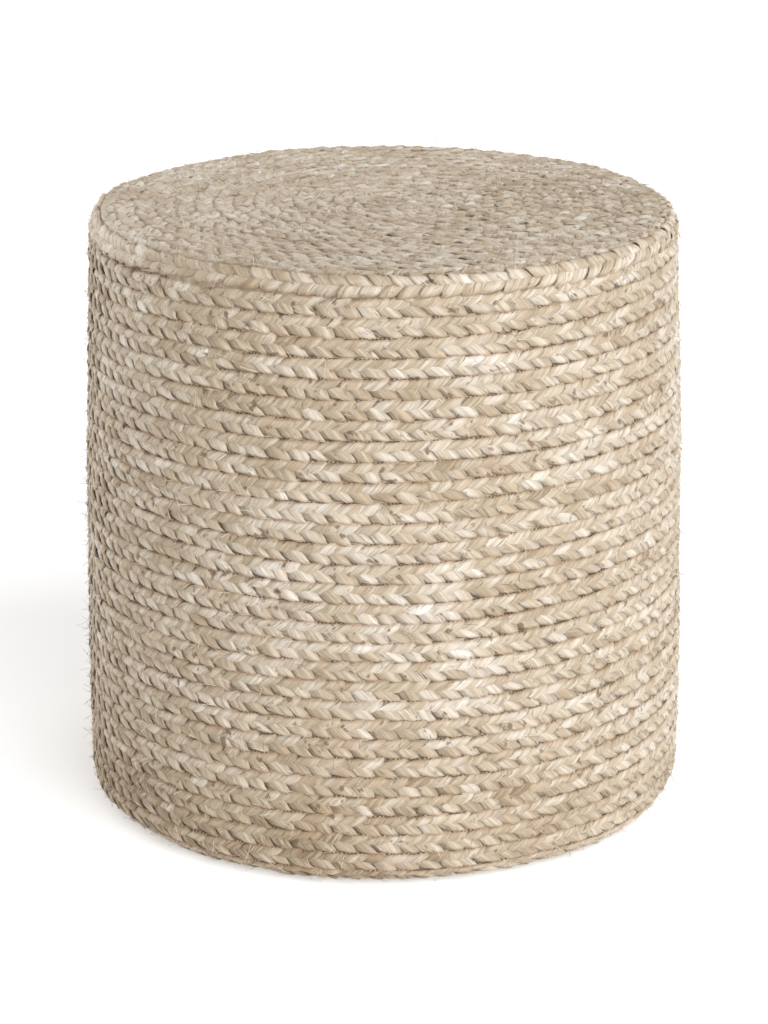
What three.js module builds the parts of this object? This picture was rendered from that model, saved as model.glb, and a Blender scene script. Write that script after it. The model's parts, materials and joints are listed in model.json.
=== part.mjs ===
// A round pouf of plaited jute. One long flat plait is coiled and sewn down the side of the filled
// body. A second is coiled flat for the top, and its outermost turn folds over the shoulder and
// shows its full width there. A plain cloth disc closes the underside.
// Millimetres, +Z up, the origin in the middle of the underside. The front faces -Y.

import * as THREE from "three";
import { ParametricGeometry } from "three/addons/geometries/ParametricGeometry.js";
import { mergeVertices } from "three/addons/utils/BufferGeometryUtils.js";

// Driving dimensions: the filled drum
const topRadius = 219.7;
const middleRadius = 227;
const footRadius = 228.2;
const shoulderHeight = 457;
const crown = 3;
const shoulderRounding = 14;
const footRounding = 20;
const footClearance = 0.4;

// Driving dimensions: the plaits and the cloth
const plaitThickness = 8;
const grooveDepth = 2.4;
const sideTurnWidth = 14.76;
const topTurns = 14.4;
const seamHeight = 438;
const foldStart = THREE.MathUtils.degToRad(65);
const baseRadius = 203;
const baseThickness = 2.2;
const gap = 0.3;

// The coils start here, measured counterclockwise from the front. The two are a whole number of
// columns apart, so that the hidden faces of the body and the top have matching facets.
const sideStart = THREE.MathUtils.degToRad(-45);
const topStart = THREE.MathUtils.degToRad(135);

// How finely the solids are faceted
const columns = 40;
const rowsPerTurn = 3;
const foldRows = 8;
const hiddenArcRows = 4;

// Places that follow from the sizes
const shoulderCentre = new THREE.Vector2(
  topRadius - shoulderRounding,
  shoulderHeight - shoulderRounding,
);
const bodyRounding = shoulderRounding - plaitThickness;
const bodyRadius = topRadius - plaitThickness;
const undersideHeight = baseThickness + gap;

/** A point at an angle on a circle about the centre of the shoulder's rounding. */
function onShoulder(radius, angle) {
  return new THREE.Vector2(
    shoulderCentre.x + radius * Math.cos(angle),
    shoulderCentre.y + radius * Math.sin(angle),
  );
}

/** Points at equal steps along an arc about the centre of the shoulder's rounding. */
function shoulderArc(radius, from, to, steps) {
  return Array.from({ length: steps + 1 }, (_, i) =>
    onShoulder(radius, THREE.MathUtils.lerp(from, to, i / steps)),
  );
}

/** The outline of the top, from the crown's middle to where the outermost turn starts to fold. */
function topOutline() {
  const outline = new THREE.Path();
  outline.moveTo(0, shoulderHeight + crown);
  outline.quadraticCurveTo(
    shoulderCentre.x / 2,
    shoulderHeight + crown,
    shoulderCentre.x,
    shoulderHeight,
  );
  outline.absarc(
    shoulderCentre.x,
    shoulderCentre.y,
    shoulderRounding,
    Math.PI / 2,
    foldStart,
    true,
  );
  return outline;
}

/** The outline of the outermost turn of the top, over the shoulder and down to the seam. */
function foldOutline() {
  const outline = new THREE.Path();
  outline.absarc(
    shoulderCentre.x,
    shoulderCentre.y,
    shoulderRounding,
    foldStart,
    0,
    true,
  );
  outline.lineTo(topRadius, seamHeight);
  return outline;
}

/** The outline of the side, from the seam down the swelling wall and round the foot. */
function sideOutline() {
  const outline = new THREE.Path();
  const footTop = footClearance + footRounding;
  outline.moveTo(topRadius, seamHeight - gap);
  outline.quadraticCurveTo(
    2 * middleRadius - (topRadius + footRadius) / 2,
    (seamHeight + footTop) / 2,
    footRadius,
    footTop,
  );
  outline.absarc(
    footRadius - footRounding,
    footTop,
    footRounding,
    0,
    -Math.PI / 2,
    true,
  );
  return outline;
}

/** How far down into a groove a point lies, from 0 on the crest to 1 at a whole turn. */
function grooveShare(turns) {
  const toGroove = Math.abs(turns - Math.round(turns));
  return Math.max(0, 1 - rowsPerTurn * toGroove);
}

/** A point of an outline, sunk below it by a share of the groove's depth. */
function sunkPoint(outline, share, sunk) {
  const point = outline.getPoint(share);
  const along = outline.getTangent(share);
  const outward = new THREE.Vector2(-along.y, along.x);
  return point.addScaledVector(outward, -sunk * grooveDepth);
}

/**
 * A closed drum whose outline runs from the axis to the axis: plain points, then a coil whose
 * turns climb one width in each round, then plain points again.
 */
function coiledDrum({ before, outline, turns, start, after }) {
  const coilRows = Math.ceil(turns * rowsPerTurn) + rowsPerTurn;
  const rows = before.length + coilRows + after.length;

  function outlinePoint(row, round) {
    if (row < before.length) return before[row];
    if (row > before.length + coilRows)
      return after[row - before.length - coilRows - 1];
    const wound = (row - before.length) / rowsPerTurn - 1 + round;
    const turn = THREE.MathUtils.clamp(wound, 0, turns);
    return sunkPoint(outline, turn / turns, grooveShare(turn));
  }

  const grid = new ParametricGeometry(
    (round, down, target) => {
      const point = outlinePoint(Math.round(down * rows), round);
      const angle = start - 2 * Math.PI * (round % 1);
      target.set(
        point.x * Math.sin(angle),
        -point.x * Math.cos(angle),
        point.y,
      );
    },
    columns,
    rows,
  );
  grid.deleteAttribute("normal");
  grid.deleteAttribute("uv");
  return mergeVertices(grid, 1e-4);
}

/** The filled body, with the turns of the side's plait raised on it. */
function sideCoil() {
  const outline = sideOutline();
  return coiledDrum({
    before: [
      new THREE.Vector2(0, shoulderHeight + crown - plaitThickness - gap),
      ...shoulderArc(bodyRounding - gap, Math.PI / 2, 0, hiddenArcRows),
      new THREE.Vector2(bodyRadius - gap, seamHeight - gap),
    ],
    outline,
    turns: outline.getLength() / sideTurnWidth,
    start: sideStart,
    after: [
      new THREE.Vector2(baseRadius + gap, undersideHeight),
      new THREE.Vector2(0, undersideHeight),
    ],
  });
}

/** The coiled top, a cap over the body, with its outermost turn folded over the shoulder. */
function topCoil() {
  const fold = foldOutline();
  const foldPoints = Array.from({ length: foldRows }, (_, i) => {
    const share = (i + 1) / foldRows;
    const sunk = Math.max(0, 1 - foldRows * 0.5 * Math.min(share, 1 - share));
    return sunkPoint(fold, share, sunk);
  });
  return coiledDrum({
    before: [],
    outline: topOutline(),
    turns: topTurns,
    start: topStart,
    after: [
      onShoulder(shoulderRounding - grooveDepth, foldStart),
      ...foldPoints,
      new THREE.Vector2(bodyRadius, seamHeight),
      ...shoulderArc(bodyRounding, 0, Math.PI / 2, hiddenArcRows),
      new THREE.Vector2(0, shoulderHeight + crown - plaitThickness),
    ],
  });
}

/** The flat disc of cloth sewn to the last turn of the side. */
function basePanel() {
  const panel = new THREE.CylinderGeometry(
    baseRadius,
    baseRadius,
    baseThickness,
    columns,
  );
  panel.rotateX(Math.PI / 2);
  panel.translate(0, 0, baseThickness / 2);
  return panel;
}

/** A material from a colour and its roughness. */
function cloth(color, roughness) {
  return new THREE.MeshStandardMaterial({ color, roughness, metalness: 0 });
}

const pouf = new THREE.Group();
const pieces = [
  { name: "side_coil", geometry: sideCoil(), material: cloth(0xc9b698, 0.8) },
  { name: "top_coil", geometry: topCoil(), material: cloth(0xbfae93, 0.82) },
  { name: "base_panel", geometry: basePanel(), material: cloth(0xb3a184, 0.9) },
];
for (const { name, geometry, material } of pieces) {
  const mesh = new THREE.Mesh(geometry, material);
  mesh.name = name;
  pouf.add(mesh);
}

export default pouf;
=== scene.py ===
import json
import math

import bpy
from bpy.props import FloatProperty, FloatVectorProperty, IntProperty, PointerProperty
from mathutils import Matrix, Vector

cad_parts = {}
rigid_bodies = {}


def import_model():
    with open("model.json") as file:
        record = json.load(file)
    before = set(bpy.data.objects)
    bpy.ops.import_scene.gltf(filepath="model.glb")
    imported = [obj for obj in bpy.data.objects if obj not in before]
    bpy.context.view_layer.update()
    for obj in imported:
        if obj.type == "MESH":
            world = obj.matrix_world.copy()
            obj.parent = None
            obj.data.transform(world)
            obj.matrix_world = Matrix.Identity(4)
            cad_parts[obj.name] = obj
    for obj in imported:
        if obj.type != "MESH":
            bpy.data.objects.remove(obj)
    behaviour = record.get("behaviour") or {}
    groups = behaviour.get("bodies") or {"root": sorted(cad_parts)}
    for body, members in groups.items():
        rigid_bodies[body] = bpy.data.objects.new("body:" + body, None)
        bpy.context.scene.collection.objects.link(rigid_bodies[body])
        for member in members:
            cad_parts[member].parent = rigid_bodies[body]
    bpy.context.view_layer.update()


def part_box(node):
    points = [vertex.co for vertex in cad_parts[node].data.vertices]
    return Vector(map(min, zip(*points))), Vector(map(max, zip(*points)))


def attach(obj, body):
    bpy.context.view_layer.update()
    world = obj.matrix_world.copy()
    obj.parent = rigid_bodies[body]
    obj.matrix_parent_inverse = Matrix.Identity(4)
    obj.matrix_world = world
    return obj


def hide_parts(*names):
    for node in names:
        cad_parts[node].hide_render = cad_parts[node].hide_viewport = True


bl_info = {
    "name": "Plaited jute pouf",
    "version": (1, 0, 0),
    "blender": (4, 5, 0),
    "location": "View3D > Sidebar > Pouf",
    "description": "Dresses a drum pouf in coiled jute plait, with its sewing, loose fibres and base cloth",
    "category": "Object",
}

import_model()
BODY = "root"

# For each part, its solid and the slot of its finish
SIDE = ("side_coil", "side_plait")
TOP = ("top_coil", "top_plait")
BASE = ("base_panel", "base_cloth")
TOP_LOW, TOP_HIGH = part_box(TOP[0])
_, BASE_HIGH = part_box(BASE[0])

STRANDS = 3
TURN = 2 * math.pi
STEPS_PER_TURN = 360
SPARE_TURNS = 0.3

# Points on each stretch of the drum's outline, and how far it goes on over the underside
CROWN_STEPS, EDGE_STEPS, SHOULDER_STEPS, WALL_STEPS, FOOT_STEPS = 140, 8, 20, 280, 28
UNDERSIDE = 0.022

# The least height over the floor, for strands and for fibres
PLAIT_CLEARANCE = 0.0003
FIBRE_CLEARANCE = 0.0005

# The stage: light from the floor and all round, and the camera's place, tilt in degrees and lens
FLOOR_REACH = 30.0
FLOOR_GLOW = 0.43
ROOM_LIGHT = 0.355
CAMERA_PLACE = (0.0, -2.5307, 1.0339)
CAMERA_TILT = 17.96
LENS = 121.6
SENSOR_WIDTH = 36.0
WHITE = (1.0, 1.0, 1.0, 1.0)

# Each sun's name, energy, width in degrees, azimuth and elevation in degrees, and colour
SUNS = (
    ("key", 3.48, 54, (38, 32), (0.952, 0.975, 1.0)),
    ("back", 0.6, 40, (130, 30), (1.0, 1.0, 1.0)),
    ("fill", 1.9, 60, (-126, 14), (1.0, 0.95, 0.88)),
)


# Settings


def length(name, description, default):
    """A size in metres that a user may change."""
    kind = {"min": 0.0, "precision": 5, "subtype": "DISTANCE", "unit": "LENGTH"}
    return FloatProperty(name=name, description=description, default=default, **kind)


def angle(name, description, degrees):
    """An angle that a user may change."""
    kind = {"subtype": "ANGLE", "unit": "ROTATION"}
    return FloatProperty(name=name, description=description, default=math.radians(degrees), **kind)


def amount(name, description, default):
    """A plain number that a user may change."""
    return FloatProperty(name=name, description=description, default=default, precision=3)


def colour(name, description, default):
    """A linear colour that a user may change."""
    kind = {"size": 3, "min": 0.0, "max": 1.0, "subtype": "COLOR"}
    return FloatVectorProperty(name=name, description=description, default=default, **kind)


class PoufSizes(bpy.types.PropertyGroup):
    """The drum's own sizes, which follow the solids."""

    top_radius: length("Top radius", "Wall radius at the shoulder", TOP_HIGH.x)
    middle_radius: length("Middle radius", "Wall radius half way up", 0.227)
    foot_radius: length("Foot radius", "Wall radius just above the foot", 0.2282)
    height: length("Height", "From the floor to the middle of the crown", TOP_HIGH.z)
    crown: length("Crown", "Rise of the top from its shoulder to its middle", 0.003)
    shoulder: length("Shoulder rounding", "Radius of the shoulder", 0.014)
    foot: length("Foot rounding", "Radius of the foot", 0.020)
    foot_lift: length("Foot lift", "Height of the lowest plait over the floor", 0.0004)
    seam: length("Seam height", "Where the folded turn meets the side", TOP_LOW.z)
    fold: angle("Fold", "Angle on the shoulder where the outermost turn starts", 65)
    base_radius: length("Base radius", "Radius of the base cloth", BASE_HIGH.x)
    base_thickness: length("Base thickness", "Thickness of the base cloth", BASE_HIGH.z)


class PlaitSizes(bpy.types.PropertyGroup):
    """The sizes of the plait and of its coils."""

    side_turn: length("Side turn", "Width of one turn on the side", 0.01476)
    top_turns: amount("Top turns", "Turns from the middle of the top to its fold", 14.4)
    side_start: angle("Side start", "Where the side's coil starts, from the front", -45)
    top_start: angle("Top start", "Where the top's coil starts, from the front", -45)
    period: length("Plait length", "Length in which a strand crosses over and back", 0.0468)
    half_span: length("Half span", "How far a strand's middle goes from the plait's middle", 0.0076)
    strand_width: length("Strand width", "Width of a flattened strand along the plait", 0.0216)
    strand_thickness: length("Strand thickness", "Thickness of a flattened strand", 0.0024)
    rise: length("Rise", "How far a strand rises where it crosses over", 0.0015)
    row_crown: length("Row crown", "How far the plait's middle stands over its edges", 0.0005)
    quickening: amount("Quickening", "How much steeper a strand runs where it shows", 0.22)
    pinch: amount("Pinch", "How much narrower a strand is where it folds back", 0.30)
    fold_periods: IntProperty(name="Folded plait", description="Plait lengths round the shoulder", default=32)
    fold_span: length("Folded half span", "Half span of the turn on the shoulder", 0.0092)
    lean: amount("Lean", "How far a strand tilts, as a slope", 0.070)
    sway: length("Sway", "How uneven the turns are", 0.0016)
    stitch_spacing: length("Stitch spacing", "Distance from stitch to stitch", 0.0160)
    seed: IntProperty(name="Seed", description="Seed for everything that is uneven", default=7)


class PoufColours(bpy.types.PropertyGroup):
    """The colours of the jute and of the base cloth."""

    light: colour("Light jute", "The palest strands", (0.79, 0.745, 0.675))
    mid: colour("Jute", "The usual strand", (0.476, 0.388, 0.281))
    grey: colour("Weathered jute", "The darkest strands", (0.262, 0.180, 0.098))
    tan: colour("Tan jute", "Fibres that have kept their bark's colour", (0.58, 0.43, 0.29))
    brown: colour("Brown fibre", "Single fibres of bark", (0.16, 0.10, 0.055))
    hair: colour("Pale fibre", "Single fibres at their palest", (0.82, 0.75, 0.64))
    # Painted shade: the plait deep in its grooves and the gaps of the base weave take this colour; it is also
    # the colour of the few darker leaves
    deep: colour("Deep jute", "The plait where it is hidden in a groove", (0.275, 0.162, 0.080))
    cloth: colour("Base cloth", "The cloth of the underside", (0.40, 0.32, 0.22))
    thread: colour("Sewing thread", "The thread in the grooves", (0.16, 0.10, 0.055))
    floor: colour("Floor", "The plain floor", (0.70, 0.70, 0.70))


# Node trees, written as arithmetic


def operation(kind):
    """A method that puts its number and its other values into one Math node."""
    return lambda number, *others: number.builder.math(kind, number, *others)


class Number:
    """A socket that holds a number. Sums and products of such sockets make Math nodes."""

    __add__ = __radd__ = operation("ADD")
    __sub__ = operation("SUBTRACT")
    __mul__ = __rmul__ = operation("MULTIPLY")
    __truediv__ = operation("DIVIDE")
    sin = operation("SINE")
    cos = operation("COSINE")
    arcsin = operation("ARCSINE")
    power = operation("POWER")
    floor = operation("FLOOR")
    size = operation("ABSOLUTE")
    sign = operation("SIGN")
    least = operation("MINIMUM")
    most = operation("MAXIMUM")
    below = operation("LESS_THAN")

    def __init__(self, builder, socket):
        self.builder = builder
        self.socket = socket

    def __rsub__(self, other):
        return self.builder.math("SUBTRACT", other, self)

    def __neg__(self):
        return self * -1.0

    def clamped(self, low=0.0, high=1.0):
        return self.most(low).least(high)

    def between(self, low, high):
        """0 below low, 1 above high, and straight in between."""
        return ((self - low) * (1.0 / (high - low))).clamped()


def live(sockets, name):
    """The one socket of a name that is switched on for its node's data type."""
    return next(socket for socket in sockets if socket.name == name and socket.enabled)


class Builder:
    """Builds one node tree, a node at a time."""

    def __init__(self, tree):
        self.tree = tree
        self.count = 0

    def plug(self, value, socket):
        """Links a socket, or sets a plain value."""
        if isinstance(value, Number):
            value = value.socket
        if isinstance(value, bpy.types.NodeSocket):
            self.tree.links.new(value, socket)
        else:
            socket.default_value = value

    def fill(self, node, values):
        """Fills some of a node's inputs, by name or by place."""
        for key, value in values.items():
            self.plug(value, node.inputs[key])

    def node(self, kind, values=None, **settings):
        made = self.tree.nodes.new(kind)
        made.location = (180 * (self.count // 12), -160 * (self.count % 12))
        self.count += 1
        for name, value in settings.items():
            setattr(made, name, value)
        self.fill(made, values or {})
        return made

    def first(self, kind, values=None, **settings):
        """The first output of a new node."""
        return self.node(kind, values, **settings).outputs[0]

    def math(self, kind, *values):
        return Number(self, self.first("ShaderNodeMath", dict(enumerate(values)), operation=kind))

    def vector(self, x=0.0, y=0.0, z=0.0):
        return self.first("ShaderNodeCombineXYZ", {0: x, 1: y, 2: z})

    def parts(self, vector):
        made = self.node("ShaderNodeSeparateXYZ", {0: vector})
        return [Number(self, socket) for socket in made.outputs]

    def moved(self, vector, by):
        return self.first("ShaderNodeVectorMath", {0: vector, 1: by}, operation="ADD")

    def scaled(self, vector, by):
        return self.first("ShaderNodeVectorMath", {0: vector, "Scale": by}, operation="SCALE")

    def noise(self, vector, scale=1.0, detail=0.0):
        """Soft noise from about 0 to 1."""
        values = {"Vector": vector, "Scale": scale, "Detail": detail}
        return Number(self, self.first("ShaderNodeTexNoise", values))

    def swing(self, vector, scale=1.0):
        """Soft noise from about -1 to 1."""
        return (self.noise(vector, scale) - 0.5) * 3.0

    def group(self, tree, values):
        """A node that holds a group. Its kind follows the tree that it is put in."""
        made = self.node("GeometryNodeGroup" if self.tree.type == "GEOMETRY" else "ShaderNodeGroup")
        made.node_tree = tree
        self.fill(made, values)
        return made

    def store(self, geometry, name, value, data_type="FLOAT", domain="POINT"):
        """Stores a value on the geometry under a name."""
        values = {"Geometry": geometry, "Name": name}
        settings = {"data_type": data_type, "domain": domain}
        made = self.node("GeometryNodeStoreNamedAttribute", values, **settings)
        self.plug(value, live(made.inputs, "Value"))
        return made.outputs[0]

    def captured(self, geometry, value, kind="FLOAT"):
        """The geometry, and a value that stays with it as it is now."""
        made = self.node("GeometryNodeCaptureAttribute", {"Geometry": geometry}, domain="POINT")
        made.capture_items.new(kind, "Kept")
        self.plug(value, made.inputs["Kept"])
        return made.outputs["Geometry"], made.outputs["Kept"]

    def chance(self, seed, low=0.0, high=1.0, **values):
        """A random number between two values."""
        made = self.node("FunctionNodeRandomValue", {"Seed": seed, **values}, data_type="FLOAT")
        self.plug(low, live(made.inputs, "Min"))
        self.plug(high, live(made.inputs, "Max"))
        return Number(self, live(made.outputs, "Value"))

    def index(self):
        return Number(self, self.first("GeometryNodeInputIndex"))

    def curve(self, mesh):
        return self.first("GeometryNodeMeshToCurve", {"Mesh": mesh})

    def sampled(self, curve, distance):
        """A node that reads a curve at a distance along it."""
        return self.node("GeometryNodeSampleCurve", {"Curves": curve, "Length": distance}, mode="LENGTH")

    def set_at(self, geometry, position):
        return self.first("GeometryNodeSetPosition", {"Geometry": geometry, "Position": position})

    def circle(self, corners, radius):
        return self.first("GeometryNodeCurvePrimitiveCircle", {"Resolution": corners, "Radius": radius})

    def swept(self, curve, section):
        """A section swept along a curve, with its ends closed."""
        values = {"Curve": curve, "Profile Curve": section, "Fill Caps": True}
        return self.first("GeometryNodeCurveToMesh", values)

    def standing(self, normal, forward):
        """The rotation that stands up along a normal and faces forward."""
        kind = "FunctionNodeAlignRotationToVector"
        upright = self.first(kind, {"Vector": normal}, axis="Z")
        return self.first(kind, {"Rotation": upright, "Vector": forward}, axis="X", pivot_axis="Z")

    def turned(self, rotation, by):
        values = {"Rotation": rotation, "Rotate By": by}
        return self.first("FunctionNodeRotateRotation", values, rotation_space="LOCAL")

    def copies(self, points, shape, rotation, size):
        """A shape on each point, turned and sized."""
        values = {"Points": points, "Instance": shape, "Rotation": rotation}
        values["Scale"] = self.vector(size, size, size)
        return self.first("GeometryNodeInstanceOnPoints", values)

    def joined(self, *shapes):
        made = self.node("GeometryNodeJoinGeometry")
        for shape in shapes:
            self.plug(shape, made.inputs[0])
        return made.outputs[0]

    def smooth(self, mesh):
        return self.first("GeometryNodeSetShadeSmooth", {"Geometry": mesh})

    def closing(self, geometry, material, result):
        """The end of every geometry tree: real geometry with its material."""
        real = self.first("GeometryNodeRealizeInstances", {"Geometry": geometry})
        values = {"Geometry": real, "Material": material}
        self.plug(self.first("GeometryNodeSetMaterial", values), result.inputs["Geometry"])

    def place(self):
        """The point's own place on the object, for a material."""
        return self.node("ShaderNodeTexCoord").outputs["Object"]

    def attribute(self, name, output="Fac"):
        """A value that a piece has stored, for a material."""
        return self.node("ShaderNodeAttribute", attribute_name=name).outputs[output]

    def mixed(self, factor, first, second):
        """The first colour where the factor is 0, and the second where it is 1."""
        made = self.node("ShaderNodeMix", data_type="RGBA")
        for name, value in (("Factor", factor), ("A", first), ("B", second)):
            self.plug(value, live(made.inputs, name))
        return live(made.outputs, "Result")

    def bump(self, height, strength, distance):
        """The normal of a relief, in a material."""
        values = {"Strength": strength, "Distance": distance, "Height": height}
        return self.first("ShaderNodeBump", values)


def new_group(name, kind, inputs, outputs):
    """A group, its sockets listed by kind: its tree, its builder, its inputs by name and its end."""
    tree = bpy.data.node_groups.new(name, kind)
    for direction, listed in (("INPUT", inputs), ("OUTPUT", outputs)):
        for socket_kind, names in listed.items():
            for socket_name in names.split(", "):
                socket_type = f"NodeSocket{socket_kind}"
                tree.interface.new_socket(socket_name, in_out=direction, socket_type=socket_type)
    builder = Builder(tree)
    given = builder.node("NodeGroupInput").outputs
    result = builder.node("NodeGroupOutput")
    named = {}
    for socket_kind, names in inputs.items():
        for socket_name in names.split(", "):
            socket = given[socket_name]
            named[socket_name] = Number(builder, socket) if socket_kind in ("Float", "Int") else socket
    return tree, builder, named, result


def once(name, make):
    """The node group of that name, made when it is first asked for."""
    return bpy.data.node_groups.get(name) or make(name)


# The outline of the drum


def bezier(start, handle, end, steps):
    """Points of a curve with one handle, without its first point."""
    shares = (i / steps for i in range(1, steps + 1))
    return [(1 - t) ** 2 * start + 2 * t * (1 - t) * handle + t**2 * end for t in shares]


def arc(centre, radius, start, end, steps):
    """Points of an arc, without its first point."""
    angles = (start + (end - start) * i / steps for i in range(1, steps + 1))
    return [centre + radius * Vector((math.cos(a), math.sin(a))) for a in angles]


class Outline:
    """The drum's outline, from the middle of the crown to the underside, with its marks."""

    def __init__(self, sizes):
        rim = sizes.height - sizes.crown
        shoulder = Vector((sizes.top_radius - sizes.shoulder, rim - sizes.shoulder))
        foot_top = sizes.foot_lift + sizes.foot
        foot = Vector((sizes.foot_radius - sizes.foot, foot_top))
        seam = Vector((sizes.top_radius, sizes.seam))
        wall_end = Vector((sizes.foot_radius, foot_top))
        ends = (sizes.top_radius + sizes.foot_radius) / 2
        wall_handle = Vector((2 * sizes.middle_radius - ends, (sizes.seam + foot_top) / 2))
        crown_handle = Vector((shoulder.x / 2, sizes.height))
        self.points = [Vector((0.0, sizes.height))]
        self.points += bezier(self.points[0], crown_handle, Vector((shoulder.x, rim)), CROWN_STEPS)
        self.points += arc(shoulder, sizes.shoulder, math.pi / 2, sizes.fold, EDGE_STEPS)
        self.fold = self.length_so_far()
        self.points += arc(shoulder, sizes.shoulder, sizes.fold, 0, SHOULDER_STEPS)
        self.points.append(seam)
        self.seam = self.length_so_far()
        self.points += bezier(seam, wall_handle, wall_end, WALL_STEPS)
        self.points += arc(foot, sizes.foot, 0, -math.pi / 2, FOOT_STEPS)
        self.end = self.length_so_far()
        self.points.append(Vector((foot.x - UNDERSIDE, sizes.foot_lift)))

    def length_so_far(self):
        return sum((b - a).length for a, b in zip(self.points, self.points[1:]))

    def radius_at(self, distance):
        """The outline's radius at a distance along it."""
        for a, b in zip(self.points, self.points[1:]):
            step = (b - a).length
            if distance <= step:
                return a.lerp(b, distance / step).x
            distance -= step
        return self.points[-1].x

    def coil_length(self, first, turn_width, turns):
        """The length of a coil that starts at a distance along the outline."""
        steps = 1500
        places = (first + turn_width * turns * (i + 0.5) / steps for i in range(steps))
        return sum(self.radius_at(place) for place in places) * TURN * turns / steps

    def as_mesh(self, name):
        """The outline as a chain of edges."""
        mesh = bpy.data.meshes.new(name)
        edges = [(i, i + 1) for i in range(len(self.points) - 1)]
        mesh.from_pydata([(p.x, 0.0, p.y) for p in self.points], edges, [])
        return mesh

    def sunk(self, depth, spacing):
        """The outline moved inwards, at about a spacing, as a line that starts and ends on the axis."""
        kept = []
        travelled = spacing
        for before, point, after in zip(self.points, self.points[1:], self.points[2:]):
            travelled += (point - before).length
            if travelled >= spacing:
                travelled = 0.0
                along = (after - before).normalized()
                kept.append(point + Vector((along.y, -along.x)) * depth)
        return [Vector((0.0, self.points[0].y - 3 * depth)), *kept, Vector((0.0, kept[-1].y))]


def revolved(name, line, columns):
    """A closed mesh turned from a line that starts and ends on the axis."""
    mesh = bpy.data.meshes.new(name)
    rings = line[1:-1]
    vertices = [(0.0, 0.0, line[0].y)]
    for point in rings:
        for column in range(columns):
            a = TURN * column / columns
            vertices.append((point.x * math.sin(a), -point.x * math.cos(a), point.y))
    vertices.append((0.0, 0.0, line[-1].y))
    last = len(vertices) - 1
    final = last - columns
    faces = []
    for column in range(columns):
        beside = (column + 1) % columns
        faces.append((0, 1 + column, 1 + beside))
        for ring in range(len(rings) - 1):
            upper = 1 + ring * columns
            lower = upper + columns
            faces.append((upper + column, lower + column, lower + beside, upper + beside))
        faces.append((final + column, last, final + beside))
    mesh.from_pydata(vertices, [], faces)
    mesh.polygons.foreach_set("use_smooth", [True] * len(mesh.polygons))
    return mesh


# Geometry trees


def on_drum(b, outline, place, around, height):
    """The point at a distance along the outline, an angle round the drum and a height over it."""
    side = place.sign()
    sample = b.sampled(outline, place.size())
    radius, _, level = b.parts(sample.outputs["Position"])
    outward, _, down = b.parts(sample.outputs["Tangent"])
    point_radius = (radius - down * height) * side
    point_level = (level + outward * height).most(PLAIT_CLEARANCE)
    sine = around.sin()
    cosine = around.cos()
    position = b.vector(point_radius * sine, -(point_radius * cosine), point_level)
    normal = b.vector(-(down * sine * side), down * cosine * side, outward)
    return position, normal


def unevenness(b, spot, sway):
    """How far a turn strays at a spot, along the outline and square to it."""
    return b.swing(spot, 7.0) * sway, b.swing(b.moved(spot, (3.7, 1.9, 5.1)), 9.0) * sway * 0.6


COIL_INPUTS = "First, Turns, Turn width, Start"


def coil_line_group(name):
    """A curve that winds clockwise round the drum, a turn width further along the outline each round."""
    inputs = {"Geometry": "Outline", "Float": COIL_INPUTS + ", Height, Sway"}
    outputs = {"Geometry": "Geometry", "Float": "Wound", "Vector": "Normal"}
    tree, b, given, result = new_group(name, "GeometryNodeTree", inputs, outputs)
    line = b.first("GeometryNodeMeshLine", {"Count": given["Turns"] * STEPS_PER_TURN + 1})
    wound = b.index() * (TURN / STEPS_PER_TURN)
    place = given["First"] + given["Turn width"] * wound / TURN
    around = given["Start"] - wound
    level, _ = on_drum(b, given["Outline"], place, around, 0.0)
    sway, lump = unevenness(b, level, given["Sway"])
    position, normal = on_drum(b, given["Outline"], place + sway, around, given["Height"] + lump)
    kept, wound = b.captured(line, wound)
    kept, normal = b.captured(kept, normal, "VECTOR")
    b.fill(result, {"Geometry": b.curve(b.set_at(kept, position)), "Wound": wound, "Normal": normal})
    return tree


def coil_line(b, given, inputs):
    """The outline as a curve, and the coil that the inputs of those names describe."""
    outline = b.curve(given["Outline"])
    values = {name: given[name] for name in inputs.split(", ")}
    return outline, b.group(once("Coil line", coil_line_group), {"Outline": outline, **values})


def marked_tube(b, steps, corners):
    """A plain tube, and the number of each point's step along it and of its corner round it."""
    index = b.index()
    spine, step = b.captured(b.curve(b.first("GeometryNodeMeshLine", {"Count": steps + 1})), index)
    section, corner = b.captured(b.circle(corners, 0.01), index)
    return b.swept(spine, section), Number(b, step), Number(b, corner)


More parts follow.
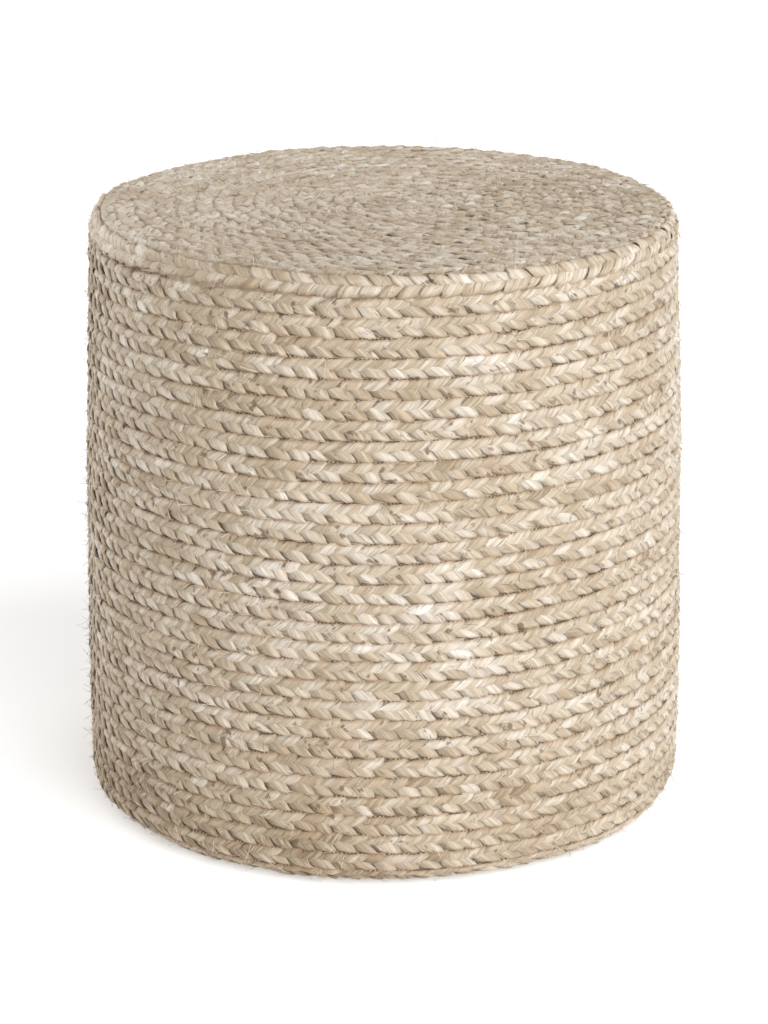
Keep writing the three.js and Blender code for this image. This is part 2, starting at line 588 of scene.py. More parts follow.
def strand_group(name):
    """One strand of a flat three-strand plait that is coiled round the drum."""
    inputs = {
        "Geometry": "Outline",
        "Float": COIL_INPUTS + ", Plait length, Lead in, Half span, Rise, Crown, Quickening, Pinch, "
        "Half width, Half thickness, Lean, Facing, Strand, Taper, End size, Tucked before, Tucked after, "
        "Tuck depth, Tuck fade, Sway",
        "Int": "Periods, Corners, Shown steps, Hidden steps, Seed",
        "Material": "Material",
    }
    tree, b, given, result = new_group(name, "GeometryNodeTree", inputs, {"Geometry": "Geometry"})
    outline, line = coil_line(b, given, COIL_INPUTS)
    steps_per_half = given["Shown steps"] + given["Hidden steps"]
    tube, step, corner = marked_tube(b, given["Periods"] * steps_per_half * 2, given["Corners"])
    facing = given["Facing"]
    plait_length = given["Plait length"]

    # Where the step lies in the plait: fine steps where the strand shows, coarse where it is under
    shown_share = 0.60
    half = ((step + 0.01) / steps_per_half).floor()
    within = step - half * steps_per_half
    shown = (within / given["Shown steps"]).least(1.0) * shown_share
    hidden = (within - given["Shown steps"]).most(0.0) / given["Hidden steps"] * (1 - shown_share)
    halves = half + shown + hidden
    lead = 0.5 - facing * 0.25 - shown_share / 2
    phase = (halves + lead) * math.pi
    turned_by = given["Strand"] * (TURN / STRANDS)
    over = (phase * 2.0).sin() * facing
    quick = (phase * 2.0).cos() * facing * given["Quickening"] / 2.0
    along = (phase - turned_by + quick) * plait_length / TURN + given["Lead in"]
    travelled = halves * plait_length / 2
    left = given["Periods"] * plait_length - travelled
    ends = (travelled.least(left) / given["Taper"]).clamped(given["End size"], 1.0)

    # The plait's middle at this step
    least_radius = 0.004
    middle = b.sampled(line.outputs["Geometry"], along)
    b.plug(line.outputs["Wound"], live(middle.inputs, "Value"))
    wound = Number(b, live(middle.outputs, "Value"))
    spot = middle.outputs["Position"]
    spot_x, spot_y, _ = b.parts(spot)
    middle_radius = (spot_x * spot_x + spot_y * spot_y).power(0.5).most(least_radius)

    # Unevenness, of the whole coil by place, and of the strand along its length
    sway, lump = unevenness(b, spot, given["Sway"])
    crowd = b.swing(b.moved(spot, (1.1, 6.3, 2.9)), 26.0) * plait_length * 0.035
    own = b.vector(halves, given["Strand"] * 7.0, given["Seed"])
    fat = b.swing(own, 0.9)
    stray = b.swing(b.moved(own, (0.0, 3.0, 5.0)), 0.8)
    lift = b.swing(b.moved(own, (0.0, 1.0, 9.0)), 1.1)
    jitter = b.swing(b.moved(own, (0.0, 5.0, 2.0)), 0.9) * 0.0028

    # The strand's middle line has straight legs and is folded at the plait's edges
    crisp = 0.94
    section_turn = 0.20
    section_blunt = 0.6
    proud = -facing
    turned = corner * TURN / given["Corners"] + math.pi / 2 - proud * (math.pi / 2 + section_turn)
    sidewise = turned.cos().sign() * turned.cos().size().power(section_blunt)
    sine = phase.sin() * crisp
    cosine = phase.cos()
    reach = given["Half span"] * ends * (stray * 0.20 + 1.0) / math.asin(crisp)
    across = sine.arcsin() * reach
    across_rate = cosine * reach * crisp * (1.0 - sine * sine).power(-0.5)
    rise = given["Rise"] * ends * (lift * 0.40 + 1.0)
    crown = given["Crown"] * ends
    level = over * rise + cosine * cosine * crown
    level_rate = (phase * 2.0).cos() * facing * rise * 2.0 - (phase * 2.0).sin() * crown
    rate = (across_rate * across_rate + level_rate * level_rate).power(-0.5)

    # Its section is wide along the plait, and thick square to the middle line
    dent_depth = 0.00045
    folded = phase.sin().size().power(4.0) * given["Pinch"]
    half_width = given["Half width"] * (fat * 0.22 + 1.0) * ends * (1.0 - folded)
    half_thickness = given["Half thickness"] * (1.0 - fat * 0.10) * ends * (folded * 0.5 + 1.0)
    sideways = sidewise * half_width
    upward = turned.sin() * half_thickness * (proud * sidewise * 0.35 + 1.0)
    tilt = proud * sideways * given["Lean"] * (over * 0.5 + 0.5) * (lift * 0.8 + 1.0)
    dents = b.swing(b.moved(own, b.vector(halves * 2.0, turned.sin() * 1.2, turned.cos() * 1.2)), 2.0)

    # The point's place on the outline, its height over it and its angle round the drum
    sunk = 0.0004
    across = across - upward * level_rate * rate
    place = given["First"] + given["Turn width"] * wound / TURN + across + sway
    peak = given["Rise"] * 0.87 + given["Crown"] * 0.75 + given["Half thickness"]
    bare = level + upward * across_rate * rate + tilt + dents * dent_depth
    before = ((given["Tucked before"] - place) / given["Tuck fade"]).clamped()
    after = ((place - given["Tucked after"]) / given["Tuck fade"]).clamped()
    height = bare - peak + lump - sunk - (before + after) * given["Tuck depth"]
    around = given["Start"] - wound - (crowd + jitter - sideways) / middle_radius
    position, _ = on_drum(b, outline, place, around, height)
    shaped = b.set_at(tube, position)

    # The way that its fibres run: towards the same corner one step on
    here = b.first("GeometryNodeInputPosition")
    ahead = b.node("GeometryNodeFieldAtIndex", data_type="FLOAT_VECTOR", domain="POINT")
    b.plug(b.index() + given["Corners"], ahead.inputs["Index"])
    b.plug(here, live(ahead.inputs, "Value"))
    heading = b.moved(live(ahead.outputs, "Value"), b.scaled(here, -1.0))
    shaped = b.store(shaped, "heading", heading, "FLOAT_VECTOR")

    # What the material reads: fibre coordinates, and each leaf's number, shade, edge and depth
    leaf = b.chance(given["Seed"], ID=half * STRANDS + given["Strand"])
    slow = b.swing(b.vector(halves * 0.13, given["Strand"] * 7.0, given["Seed"] + 3))
    fibre = b.vector(travelled * 1.15 + turned_by, sideways * 0.58)
    plain = bare + over * (given["Rise"] - rise)
    shaped = b.store(shaped, "fibre", fibre, "FLOAT2", "CORNER")
    shaped = b.store(shaped, "leaf", leaf)
    shaped = b.store(shaped, "tone", (leaf * 0.36 + slow * 0.26 + 0.31).clamped())
    shaped = b.store(shaped, "edge", sine.arcsin().size() / math.asin(crisp))
    # The depth in the plait, which the material turns into painted shade
    shaped = b.store(shaped, "depth", ((peak - plain) / (peak + given["Rise"])).clamped())
    b.closing(b.smooth(shaped), given["Material"], result)
    return tree


def stitch_group(name):
    """A thread that lies in a groove round the drum, and short stitches across it."""
    coil_inputs = COIL_INPUTS + ", Height, Sway"
    inputs = {
        "Geometry": "Outline",
        "Float": coil_inputs + ", Spacing, Reach, Thickness, Slant, Thread",
        "Int": "Seed",
        "Material": "Material",
    }
    tree, b, given, result = new_group(name, "GeometryNodeTree", inputs, {"Geometry": "Geometry"})
    _, line = coil_line(b, given, coil_inputs)
    coil = line.outputs["Geometry"]
    thread_step = 0.008
    thread = b.first("GeometryNodeResampleCurve", {"Curve": coil, "Length": thread_step}, mode="LENGTH")
    thread = b.store(thread, "along", b.node("GeometryNodeSplineParameter").outputs["Length"])
    wobble = b.swing(b.first("GeometryNodeInputPosition"), 60.0) * 0.0007
    offset = b.scaled(line.outputs["Normal"], wobble)
    thread = b.first("GeometryNodeSetPosition", {"Geometry": thread, "Offset": offset})
    thread = b.swept(thread, b.circle(3, given["Thread"] / 2.0))
    curve, normal = b.captured(coil, line.outputs["Normal"], "VECTOR")
    points = b.node("GeometryNodeCurveToPoints", {"Curve": curve, "Length": given["Spacing"]}, mode="LENGTH")

    # One stitch: a shallow bow over its line, from -1 to 1
    bow = {"Resolution": 4, "Start": (0, -1, -0.5), "Middle": (0, 0, 0.7), "End": (0, 1, -0.5)}
    bow = b.first("GeometryNodeCurveQuadraticBezier", bow)
    bow = b.first("GeometryNodeResampleCurve", {"Curve": bow, "Count": 3})
    stitch = b.swept(bow, b.circle(3, given["Thickness"] / given["Reach"] / 2.0))
    slant = b.chance(given["Seed"], given["Slant"] - 0.35, given["Slant"] + 0.35)
    rotation = b.turned(b.standing(normal, points.outputs["Tangent"]), b.vector(0.0, 0.0, slant))
    size = b.chance(given["Seed"] + 1, 0.75, 1.2) * given["Reach"]
    placed = b.copies(points.outputs[0], stitch, rotation, size)
    b.closing(b.smooth(b.joined(placed, thread)), given["Material"], result)
    return tree


def fibre_group(name):
    """Thin fibres that lie on a strand or stand off it, more or less the way that the strand runs."""
    inputs = {
        "Geometry": "Strand",
        "Float": "Density, Shortest, Longest, Lift, Stray, Curl, Thickness",
        "Int": "Points, Seed",
    }
    tree, b, given, result = new_group(name, "GeometryNodeTree", inputs, {"Geometry": "Geometry"})

    def read(attribute_name, data_type="FLOAT"):
        values = {"Name": attribute_name}
        made = b.node("GeometryNodeInputNamedAttribute", values, data_type=data_type)
        return live(made.outputs, "Attribute")

    def chance(place, low=0.0, high=1.0):
        return b.chance(given["Seed"] + place, low, high)

    # They grow where the strand shows, and most where it folds back
    deepest = 0.48
    fold = Number(b, read("edge")).between(0.60, 0.88)
    values = {"Mesh": given["Strand"], "Selection": Number(b, read("depth")).below(deepest)}
    values.update({"Density": given["Density"] * (fold * 2.2 + 0.5), "Seed": given["Seed"]})
    points = b.node("GeometryNodeDistributePointsOnFaces", values)
    rotation = b.standing(points.outputs["Normal"], read("heading", "FLOAT_VECTOR"))
    back_or_on = (chance(1, -1.0).sign() + 1.0) * (math.pi / 2)
    long = chance(2).power(2.0)
    rotation = b.turned(rotation, b.vector(0.0, 0.0, back_or_on + chance(3, -1.0) * given["Stray"]))
    rotation = b.turned(rotation, b.vector(0.0, -(chance(4) * (long * 0.7 + 0.3) * given["Lift"]), 0.0))
    line = b.first("GeometryNodeCurvePrimitiveLine", {"Start": (0, 0, 0), "End": (1, 0, 0)})
    line = b.first("GeometryNodeResampleCurve", {"Curve": line, "Count": given["Points"]})
    size = long * (given["Longest"] - given["Shortest"]) + given["Shortest"]
    placed = b.copies(points.outputs[0], line, rotation, size)
    marked = b.store(placed, "tone", chance(5), domain="INSTANCE")
    fibres = b.first("GeometryNodeRealizeInstances", {"Geometry": marked})

    # Each curls more towards its tip
    share = Number(b, b.node("GeometryNodeSplineParameter").outputs["Factor"])
    position = b.first("GeometryNodeInputPosition")
    wave = b.node("ShaderNodeTexNoise", {"Vector": position, "Scale": 70.0, "Detail": 0.0})
    centred = b.moved(wave.outputs["Color"], (-0.5, -0.5, -0.5))
    x, y, z = b.parts(b.moved(position, b.scaled(centred, share.power(1.3) * given["Curl"])))
    curled = b.set_at(fibres, b.vector(x, y, z.most(FIBRE_CLEARANCE)))
    b.fill(result, {"Geometry": b.swept(curled, b.circle(3, given["Thickness"] / 2.0))})
    return tree


def loose_fibre_group(name):
    """Fibres that lie along a strand, and fewer and longer ones that have worked loose."""
    inputs = {"Geometry": "Strand", "Float": "Lying, Loose, Thickness", "Int": "Seed", "Material": "Material"}
    tree, b, given, result = new_group(name, "GeometryNodeTree", inputs, {"Geometry": "Geometry"})
    shared = {"Strand": given["Strand"], "Thickness": given["Thickness"]}
    lying = {"Density": given["Lying"], "Shortest": 0.0025, "Longest": 0.009, "Lift": 0.30}
    lying.update({"Stray": 0.50, "Curl": 0.002, "Points": 2, "Seed": given["Seed"]})
    loose = {"Density": given["Loose"], "Shortest": 0.004, "Longest": 0.015, "Lift": 0.75}
    loose.update({"Stray": 1.2, "Curl": 0.008, "Points": 3, "Seed": given["Seed"] + 10})
    fibres = once("Fibres on a strand", fibre_group)
    both = b.joined(*(b.group(fibres, {**kind, **shared}).outputs[0] for kind in (lying, loose)))
    b.closing(both, given["Material"], result)
    return tree


# Shader groups and materials


def jute_group(name):
    """Colour and relief of a flattened bundle of jute fibres, with painted shade where the plait lies deep.
    """
    inputs = {
        "Vector": "Fibre",
        "Float": "Leaf, Tone, Depth, Edge, Stain, Speck",
        "Color": "Light, Mid, Grey, Tan, Brown, Deep",
    }
    outputs = {"Color": "Colour", "Float": "Relief, Gloss"}
    tree, b, given, result = new_group(name, "ShaderNodeTree", inputs, outputs)
    along, across, _ = b.parts(given["Fibre"])
    leaf = given["Leaf"]
    tone = given["Tone"]
    stain = given["Stain"].between(0.35, 0.65)
    drift = b.noise(b.vector(along * 60.0, leaf * 31.0, 0.0))
    across = across + (drift - 0.5) * 0.0022

    def grain(lengthwise, crosswise, leaf_step, detail=1.0):
        """Noise with its own scale along and across the fibres, which differs from leaf to leaf."""
        return b.noise(b.vector(along * lengthwise, across * crosswise, leaf * leaf_step), detail=detail)

    bundle = grain(22.0, 430.0, 43.0)
    streak = grain(38.0, 1050.0, 71.0)
    hair = grain(90.0, 2800.0, 57.0)
    bark = grain(42.0, 900.0, 97.0, detail=2.0)
    warm = grain(14.0, 200.0, 83.0)
    shade = tone * 0.58 + bundle.between(0.36, 0.64) * 0.22 + streak.between(0.36, 0.64) * 0.12
    shade = shade + hair.between(0.36, 0.64) * 0.07 - 0.005

    # The strand's own colour, with tan and bark in it and a few darker leaves
    base = b.mixed(shade.between(0.02, 0.46), given["Grey"], given["Mid"])
    base = b.mixed(shade.between(0.44, 0.90), base, given["Light"])
    base = b.mixed((warm + bundle * 0.2).between(0.62, 0.78) * 0.26, base, given["Tan"])
    dirt = (bark + (0.14 - tone).most(0.0) * 1.1).between(0.62, 0.74) * 0.62
    base = b.mixed(dirt, base, given["Brown"])
    dark_leaf = (leaf.between(0.925, 0.94) * (streak * 0.9 - 0.15)).clamped()
    base = b.mixed(dark_leaf, base, given["Deep"])

    # Painted shade where the plait lies deep, browner folds with painted shade where they turn into the
    # grooves, and specks of bark
    edge = (given["Edge"] + (streak - 0.5) * 0.35 + (stain - 0.5) * 0.12).between(0.66, 0.90) * 0.66
    groove_shade_and_fold_brown = (given["Depth"].between(0.40, 0.85) * (stain * 0.40 + 0.55)).most(edge)
    speck = (given["Speck"] + (streak - 0.5) * 0.4).between(0.745, 0.82) * 0.85
    # The painted shade and the folds' brown, lighter over pale fibres
    base = b.mixed(groove_shade_and_fold_brown * (1.20 - shade * 0.75).clamped(), base, given["Deep"])
    relief = bundle * 0.32 + streak * 0.46 + hair * 0.22
    gloss = 0.66 - hair.between(0.3, 0.8) * 0.22
    b.fill(result, {"Colour": b.mixed(speck, base, given["Brown"]), "Relief": relief, "Gloss": gloss})
    return tree


def new_material(name):
    """A material with nothing but its shader and output: the material, its builder and its shader."""
    material = bpy.data.materials.new(name)
    material.use_nodes = True
    material.node_tree.nodes.clear()
    b = Builder(material.node_tree)
    shader = b.node("ShaderNodeBsdfPrincipled")
    b.node("ShaderNodeOutputMaterial", {"Surface": shader.outputs[0]})
    return material, b, shader


def four(rgb, share=1.0):
    """A colour at a share of its brightness, with its alpha."""
    return (*(min(1.0, c * share) for c in rgb), 1.0)


def jute_material(name, colours, floor_shade=0.0, age=0.0):
    """Jute plait. Painted shade darkens the strands near the floor by one amount, and every colour by
    another.
    """
    material, b, shader = new_material(name)
    place = b.place()
    x, y, level = b.parts(place)
    patch = b.noise(place, 7.0, detail=1.0)
    stain = b.noise(b.vector(x, y, level * 2.6), 26.0, detail=2.0)
    # Painted shade, darker towards the floor
    low = level.between(0.16, 0.0) * floor_shade
    tone = Number(b, b.attribute("tone")) + (patch - 0.5) * 0.6 + (stain - 0.5) * 0.9 - low
    values = {"Fibre": b.attribute("fibre", "Vector"), "Tone": tone.clamped(), "Stain": stain}
    values["Speck"] = b.noise(place, 150.0)
    for mark in ("Leaf", "Depth", "Edge"):
        values[mark] = b.attribute(mark.lower())
    # Every colour darker by the overall painted shade
    for tint in ("Light", "Mid", "Grey", "Tan", "Brown", "Deep"):
        values[tint] = four(getattr(colours, tint.lower()), 1.0 - age)
    jute = b.group(once("Jute fibres", jute_group), values).outputs
    b.fill(shader, {
        "Base Color": jute["Colour"],
        "Roughness": jute["Gloss"],
        "Normal": b.bump(jute["Relief"], 1.0, 0.0012),
        "Specular IOR Level": 0.35,
        "Sheen Weight": 0.24,
        "Sheen Roughness": 0.45,
        "Sheen Tint": (1.0, 0.93, 0.82, 1.0),
    })
    return material


def thread_material(name, tint, second):
    """Cloth of twisted thread in two tints."""
    material, b, shader = new_material(name)
    place = b.place()
    patch = b.noise(place, 160.0, detail=1.0)
    b.fill(shader, {
        "Base Color": b.mixed(patch.between(0.3, 0.7), four(tint), four(second)),
        "Normal": b.bump(b.noise(place, 2500.0), 0.4, 0.0002),
        "Roughness": 0.6,
        "Sheen Weight": 0.2,
    })
    return material


def fibre_material(name, light, middle, brown):
    """Single fibres, each with its own shade."""
    material, b, shader = new_material(name)
    tone = Number(b, b.attribute("tone"))
    shade = b.mixed(tone.between(0.15, 0.50), four(brown), four(middle))
    shade = b.mixed(tone.between(0.50, 0.85), shade, four(light))
    b.fill(shader, {"Base Color": shade, "Roughness": 0.5})
    return material


def sewing_material(name, dark, pale):
    """Dark twine that shows between the turns, with the marks of its twist."""
    material, b, shader = new_material(name)
    twist_length = 0.0030
    stray = b.noise(b.place(), 120.0)
    twist = (Number(b, b.attribute("along")) * (TURN / twist_length) + stray * 9.0).sin()
    marks = (twist.between(-0.3, 0.8) * stray.between(0.30, 0.55)).clamped()
    b.fill(shader, {
        "Base Color": b.mixed(marks, four(dark), four(pale)),
        "Normal": b.bump(twist, 0.8, 0.0006),
        "Roughness": 0.75,
    })
    return material


def weave_group(name):
    """Plain weave: the height of its threads, the painted shade in the gaps between them, and a number for
    each thread.
    """
    inputs = {"Vector": "Place", "Float": "Threads"}
    outputs = {"Float": "Relief, Gap, Thread"}
    tree, b, given, result = new_group(name, "ShaderNodeTree", inputs, outputs)
    warp = b.node("ShaderNodeTexNoise", {"Vector": given["Place"], "Scale": 60.0})
    shift = b.scaled(b.moved(warp.outputs["Color"], (-0.5, -0.5, -0.5)), 0.0009)
    x, y, _ = b.parts(b.moved(given["Place"], shift))
    x = x * given["Threads"]
    y = y * given["Threads"]
    column = (x * math.pi).sin().size()
    row = (y * math.pi).sin().size()
    half_sum = (x.floor() + y.floor()) * 0.5
    checker = (half_sum - half_sum.floor()) * 2.0
    relief = (column * checker + row * (1.0 - checker)) * 0.75 + column * row * 0.25
    lane = b.vector(x.floor() * checker, y.floor() * (1.0 - checker))
    thread = b.node("ShaderNodeTexWhiteNoise", noise_dimensions="2D")
    b.plug(lane, thread.inputs["Vector"])
    # How much painted shade the gaps between threads get
    gap = column.least(row).between(0.30, 0.02)
    b.fill(result, {"Relief": relief, "Gap": gap, "Thread": thread.outputs["Value"]})
    return tree


def cloth_material(name, colours):
    """Plain woven jute cloth."""
    threads_per_metre = 560.0
    material, b, shader = new_material(name)
    place = b.place()
    values = {"Place": place, "Threads": threads_per_metre}
    weave = b.group(once("Plain weave", weave_group), values).outputs
    patch = b.noise(place, 9.0, detail=2.0)
    tone = (Number(b, weave["Thread"]) * 0.5 + patch * 0.6 - 0.05).clamped()
    cloth = b.mixed(tone, four(colours.cloth, 0.72), four(colours.cloth, 1.25))
    # Painted shade in the gaps between the threads
    b.fill(shader, {
        "Base Color": b.mixed(Number(b, weave["Gap"]) * 0.8, cloth, four(colours.deep)),
        "Normal": b.bump(weave["Relief"], 0.7, 0.0005),
        "Roughness": 0.85,
        "Sheen Weight": 0.15,
    })
    return material


# Pieces


def new_object(name, data):
    made = bpy.data.objects.new(name, data)
    bpy.context.scene.collection.objects.link(made)
    return made


def grown(name, tree, source, values):
    """An object whose plain mesh a geometry tree has made from a source mesh."""
    grower = new_object(name, source)
    modifier = grower.modifiers.new("Grow", "NODES")
    modifier.node_group = tree
    for socket in tree.interface.items_tree:
        if socket.in_out == "INPUT" and socket.name in values:
            modifier[socket.identifier] = values[socket.name]
    bpy.context.view_layer.update()
    evaluated = grower.evaluated_get(bpy.context.evaluated_depsgraph_get())
    mesh = bpy.data.meshes.new_from_object(evaluated)
    grower.modifiers.clear()
    grower.data = mesh
    mesh.name = name
    if not mesh.polygons:
        raise RuntimeError(f"{name} came out empty")
    mesh.materials.clear()
    mesh.materials.append(values["Material"])
    mesh.polygons.foreach_set("material_index", [0] * len(mesh.polygons))
    return grower


def fitted(piece, part):
    """Rides a finished piece on the body, and hides the solid that it stands for. The slot of its finish is
    not used.
    """
    node, slot = part
    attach(piece, BODY)
    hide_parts(node)


def add_strands(scene, name, part, material, coil):
    """The strands of one coiled plait. The coil's own values stand over the usual ones."""
    outline = Outline(scene.pouf_sizes)
    plait = scene.pouf_plait
    values = {
        "Plait length": plait.period,
        "Lead in": plait.period,
        "Half span": plait.half_span,
        "Rise": plait.rise,
        "Crown": plait.row_crown,
        "Quickening": plait.quickening,
        "Pinch": plait.pinch,
        "Half width": plait.strand_width / 2,
        "Half thickness": plait.strand_thickness / 2,
        "Lean": plait.lean,
        "Taper": 0.03,
        "End size": 0.3,
        "Tucked before": -1.0,
        "Tucked after": 10.0,
        "Tuck depth": 0.006,
        "Tuck fade": 0.004,
        "Sway": plait.sway,
        "Corners": 5,
        "Shown steps": 5,
        "Hidden steps": 1,
        "Seed": plait.seed,
        "Material": material,
        **coil,
    }
    if "Periods" not in values:
        whole = outline.coil_length(values["First"], values["Turn width"], values["Turns"])
        values["Periods"] = int(whole / values["Plait length"]) - 1
    values["Turns"] += SPARE_TURNS
    tree = once("Coiled strand", strand_group)
    for strand in range(STRANDS):
        values["Strand"] = float(strand)
        source = outline.as_mesh(f"{name}_outline")
        fitted(grown(f"{name}_strand_{strand + 1}", tree, source, values), part)


def settings(context):
    """The scene, its plait's sizes, its colours and the drum's outline."""
    scene = context.scene
    return scene, scene.pouf_plait, scene.pouf_colours, Outline(scene.pouf_sizes)


class PoufOperator:
    """What every button of this add-on shares."""

    bl_options = {"REGISTER", "UNDO"}


class POUF_OT_body(PoufOperator, bpy.types.Operator):
    """Make the filled body behind the plait"""

    bl_idname = "pouf.body"
    bl_label = "Filled body"

    def execute(self, context):
        depth = 0.0026
        spacing = 0.008
        columns = 96
        _, _, colours, outline = settings(context)
        body = new_object("filled_body", revolved("filled_body", outline.sunk(depth, spacing), columns))
        body.data.materials.append(thread_material("Filling cloth", colours.mid, colours.grey))
        fitted(body, SIDE)
        return {"FINISHED"}


class POUF_OT_side_plait(PoufOperator, bpy.types.Operator):
    """Coil the plait round the side, from under the folded turn to the foot"""

    bl_idname = "pouf.side_plait"
    bl_label = "Side plait"

    def execute(self, context):
        scene, plait, colours, outline = settings(context)
        width = plait.side_turn
        coil = {
            "First": outline.seam - width / 2,
            "Turns": (outline.end - outline.seam) / width + 1,
            "Turn width": width,
            "Start": plait.side_start,
            "Facing": -1.0,
            "Tucked before": outline.seam,
            "Tucked after": outline.end - 0.001,
        }
        # The side's jute has painted shade near the floor
        add_strands(scene, "side_plait", SIDE, jute_material("Side jute", colours, floor_shade=0.30), coil)
        return {"FINISHED"}


class POUF_OT_top_plait(PoufOperator, bpy.types.Operator):
    """Coil the plait over the top, from its middle out to the fold"""

    bl_idname = "pouf.top_plait"
    bl_label = "Top plait"

    def execute(self, context):
        scene, plait, colours, outline = settings(context)
        coil = {
            "First": 0.0,
            "Turns": plait.top_turns + 0.5,
            "Turn width": outline.fold / plait.top_turns,
            "Start": plait.top_start,
            "Facing": 1.0,
            "Rise": plait.rise * 0.96,
            "Half span": plait.half_span * 1.07,
            "Half thickness": plait.strand_thickness * 0.65,
            "Lean": plait.lean * 0.70,
            "Lead in": plait.period * 0.45,
            "Taper": 0.012,
            "End size": 0.6,
            "Tucked after": outline.fold,
        }
        # The top's jute is painted darker all over, as painted shade
        add_strands(scene, "top_plait", TOP, jute_material("Top jute", colours, age=0.12), coil)
        return {"FINISHED"}


class POUF_OT_folded_plait(PoufOperator, bpy.types.Operator):
    """Lay the outermost turn of the top over the shoulder"""

    bl_idname = "pouf.folded_plait"
    bl_label = "Folded turn"

    def execute(self, context):
        scene, plait, colours, outline = settings(context)
        middle = (outline.fold + outline.seam) / 2
        coil = {
            "First": middle,
            "Turns": 1.0,
            "Turn width": 0.0,
            "Start": plait.top_start + math.pi,
            "Facing": 1.0,
            "Plait length": outline.coil_length(middle, 0.0, 1.0) / plait.fold_periods,
            "Periods": plait.fold_periods,
            "Half span": plait.fold_span,
            "Rise": plait.rise * 1.35,
            "Half width": plait.strand_width * 0.45,
            "Lean": plait.lean * 1.3,
            "Taper": 0.001,
            "End size": 1.0,
            "Corners": 8,
            "Shown steps": 10,
            "Hidden steps": 3,
        }
        add_strands(scene, "folded_plait", TOP, jute_material("Rim jute", colours), coil)
        return {"FINISHED"}


class POUF_OT_sewing(PoufOperator, bpy.types.Operator):
    """Sew the turns to each other along their grooves"""

    bl_idname = "pouf.sewing"
    bl_label = "Sewing"

    def execute(self, context):
        _, plait, colours, outline = settings(context)
        side_turn = plait.side_turn
        top_turn = outline.fold / plait.top_turns
        shared = {
            "Sway": plait.sway,
            "Spacing": plait.stitch_spacing,
            "Reach": 0.0019,
            "Thickness": 0.0007,
            "Slant": 0.5,
            "Material": sewing_material("Sewing thread", colours.thread, colours.tan),
        }
        side = {
            "Height": -0.0017,
            "Thread": 0.0010,
            "First": outline.seam,
            "Turns": (outline.end - outline.seam) / side_turn,
            "Turn width": side_turn,
            "Start": plait.side_start,
            "Seed": plait.seed,
        }
        top = {
            "Height": -0.0026,
            "Thread": 0.0008,
            "First": top_turn,
            "Turns": plait.top_turns - 1.0,
            "Turn width": top_turn,
            "Start": plait.top_start + math.pi,
            "Seed": plait.seed + 5,
        }
        tree = once("Stitches", stitch_group)
        for name, part, coil in (("side_sewing", SIDE, side), ("top_sewing", TOP, top)):
            fitted(grown(name, tree, outline.as_mesh(f"{name}_outline"), {**shared, **coil}), part)
        return {"FINISHED"}


class POUF_OT_loose_fibres(PoufOperator, bpy.types.Operator):
    """Scatter fibres that have worked loose"""

    bl_idname = "pouf.loose_fibres"
    bl_label = "Loose fibres"

    def execute(self, context):
        _, plait, colours, _ = settings(context)
        lying_per_square_metre = 13500.0
        loose_per_square_metre = (("side", SIDE, 4200.0), ("top", TOP, 2500.0), ("folded", TOP, 11000.0))
        values = {
            "Lying": lying_per_square_metre,
            "Thickness": 0.00030,
            "Seed": plait.seed,
            "Material": fibre_material("Loose jute", colours.hair, colours.tan, colours.brown),
        }
        tree = once("Loose fibres", loose_fibre_group)
        for coil, (_, slot), loose in loose_per_square_metre:
            values["Loose"] = loose
            for strand in range(1, STRANDS + 1):
                source = bpy.data.objects[f"{coil}_plait_strand_{strand}"].data.copy()
                values["Seed"] += 1
                piece = grown(f"{coil}_fibres_{strand}", tree, source, values)
                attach(piece, BODY)
        return {"FINISHED"}


class POUF_OT_base_cloth(PoufOperator, bpy.types.Operator):
    """Make the cloth disc of the underside"""

    bl_idname = "pouf.base_cloth"
    bl_label = "Base cloth"

    def execute(self, context):
        sizes = context.scene.pouf_sizes
        radius = sizes.base_radius
        thickness = sizes.base_thickness
        columns = 180
        rings = 14
        flat = [radius * 0.97 * i / rings for i in range(rings + 1)]
        profile = [(x, thickness) for x in flat]
        profile += [(radius * 0.99, thickness), (radius, thickness * 0.75), (radius, thickness * 0.3)]
        profile += [(radius * 0.993, 0.0002), (radius * 0.975, 0.0)]
        profile += [(x, 0.0) for x in reversed(flat[:-1])]
        mesh = revolved("base_cloth", [Vector(point) for point in profile], columns)

        # Small gathers where the cloth is sewn to the last turn
        gather_height = 0.0011
        gather_start = 0.86
        gather_width = 0.14
        for vertex in mesh.vertices:
            away = math.hypot(vertex.co.x, vertex.co.y) / radius
            gather = max(0.0, away - gather_start) / gather_width
            around = math.atan2(vertex.co.x, -vertex.co.y)
            wave = 0.5 + 0.5 * math.sin(around * 45 + 2.0 * math.sin(around * 7))
            vertex.co.z = min(thickness, vertex.co.z + gather_height * wave * gather)
        piece = new_object("base_cloth", mesh)
        piece.data.materials.append(cloth_material("Base weave", context.scene.pouf_colours))
        fitted(piece, BASE)
        return {"FINISHED"}


def from_side(azimuth, elevation):
    """The direction towards a lamp, with azimuth 0 in front and 90 on the right, in degrees."""
    a = math.radians(azimuth)
    e = math.radians(elevation)
    return Vector((math.sin(a) * math.cos(e), -math.cos(a) * math.cos(e), math.sin(e)))


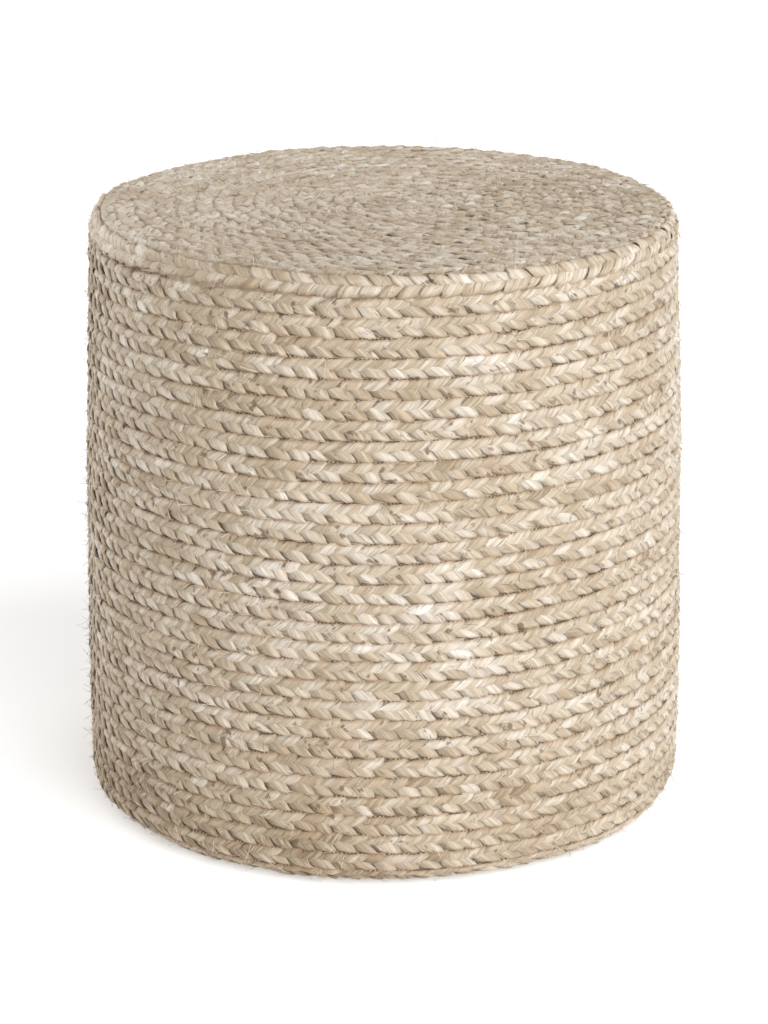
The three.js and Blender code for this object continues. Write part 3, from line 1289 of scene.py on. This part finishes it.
class POUF_OT_stage(PoufOperator, bpy.types.Operator):
    """Set up the floor, the light and the camera"""

    bl_idname = "pouf.stage"
    bl_label = "Floor, light and camera"

    def execute(self, context):
        scene = context.scene
        r = FLOOR_REACH
        mesh = bpy.data.meshes.new("floor")
        mesh.from_pydata([(-r, -r, 0), (r, -r, 0), (r, r, 0), (-r, r, 0)], [], [(0, 1, 2, 3)])
        floor = new_object("floor", mesh)
        material, b, shader = new_material("Floor")
        b.fill(shader, {
            "Base Color": four(scene.pouf_colours.floor),
            "Roughness": 0.9,
            "Specular IOR Level": 0.1,
            "Emission Color": WHITE,
            "Emission Strength": FLOOR_GLOW,
        })
        mesh.materials.append(material)

        world = bpy.data.worlds.new("Studio")
        world.use_nodes = True
        background = world.node_tree.nodes["Background"]
        background.inputs["Color"].default_value = WHITE
        background.inputs["Strength"].default_value = ROOM_LIGHT
        scene.world = world
        scene.view_settings.view_transform = "Standard"

        for name, energy, width, side, light_colour in SUNS:
            sun = bpy.data.lights.new(name, "SUN")
            sun.energy = energy
            sun.color = light_colour
            sun.angle = math.radians(width)
            lamp = new_object(name, sun)
            lamp.rotation_euler = from_side(*side).to_track_quat("Z", "Y").to_euler()

        data = bpy.data.cameras.new("camera")
        data.lens = LENS
        data.sensor_width = SENSOR_WIDTH
        camera = new_object("camera", data)
        camera.location = CAMERA_PLACE
        camera.rotation_euler = (math.radians(90 - CAMERA_TILT), 0.0, 0.0)
        scene.camera = camera
        return {"FINISHED"}


OPERATORS = (
    POUF_OT_body,
    POUF_OT_side_plait,
    POUF_OT_top_plait,
    POUF_OT_folded_plait,
    POUF_OT_sewing,
    POUF_OT_loose_fibres,
    POUF_OT_base_cloth,
    POUF_OT_stage,
)


class POUF_PT_panel(bpy.types.Panel):
    """Lists the pieces in the order in which they are made"""

    bl_label = "Plaited pouf"
    bl_idname = "POUF_PT_panel"
    bl_space_type = "VIEW_3D"
    bl_region_type = "UI"
    bl_category = "Pouf"

    def draw(self, context):
        column = self.layout.column(align=True)
        for operator in OPERATORS:
            column.operator(operator.bl_idname)
        for group in (context.scene.pouf_sizes, context.scene.pouf_plait, context.scene.pouf_colours):
            box = self.layout.box()
            for name in group.bl_rna.properties.keys():
                if name not in ("rna_type", "name"):
                    box.prop(group, name)


GROUPS = {"pouf_sizes": PoufSizes, "pouf_plait": PlaitSizes, "pouf_colours": PoufColours}
CLASSES = (*GROUPS.values(), *OPERATORS, POUF_PT_panel)


def register():
    for cls in CLASSES:
        bpy.utils.register_class(cls)
    for name, group in GROUPS.items():
        setattr(bpy.types.Scene, name, PointerProperty(type=group))


def unregister():
    for name in GROUPS:
        delattr(bpy.types.Scene, name)
    for cls in reversed(CLASSES):
        bpy.utils.unregister_class(cls)


def main():
    register()
    for operator in OPERATORS:
        category, name = operator.bl_idname.split(".")
        getattr(getattr(bpy.ops, category), name)()


if __name__ == "__main__":
    main()
